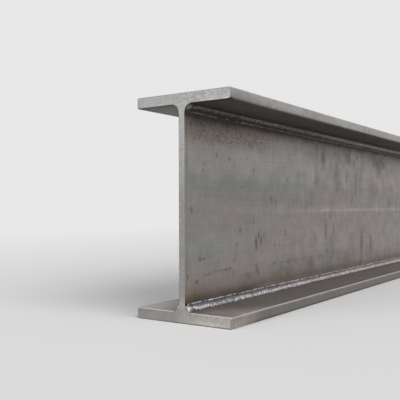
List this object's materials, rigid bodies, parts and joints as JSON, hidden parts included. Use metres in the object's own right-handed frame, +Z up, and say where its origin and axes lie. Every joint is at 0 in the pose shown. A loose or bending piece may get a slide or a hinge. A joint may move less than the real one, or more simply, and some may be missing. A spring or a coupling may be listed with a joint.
{
  "type": "welded steel h-beam",
  "caption": "Straight steel H-beam with flat flanges above and below an upright web plate, joined along its whole length by fillet welds.",
  "frame": {"origin": "underside of the bottom flange, at the middle of its width and of the beam's length", "axes": "+Z up the section, +Y along the beam, +X across the flanges"},
  "size_m": [0.15, 6, 0.3],
  "materials": {
    "mill_scale_steel": "bare plate with dull grey mill scale, brown heat marks along the welds and bare saw-cut ends",
    "weld_metal": "bare rippled weld bead, grey with bright crests"
  },
  "bodies": {
    "root": {"bottom_flange": "mill_scale_steel", "web_plate": "mill_scale_steel", "top_flange": "mill_scale_steel", "weld_bottom_right": "weld_metal", "weld_bottom_left": "weld_metal", "weld_top_right": "weld_metal", "weld_top_left": "weld_metal"}
  },
  "joints": []
}
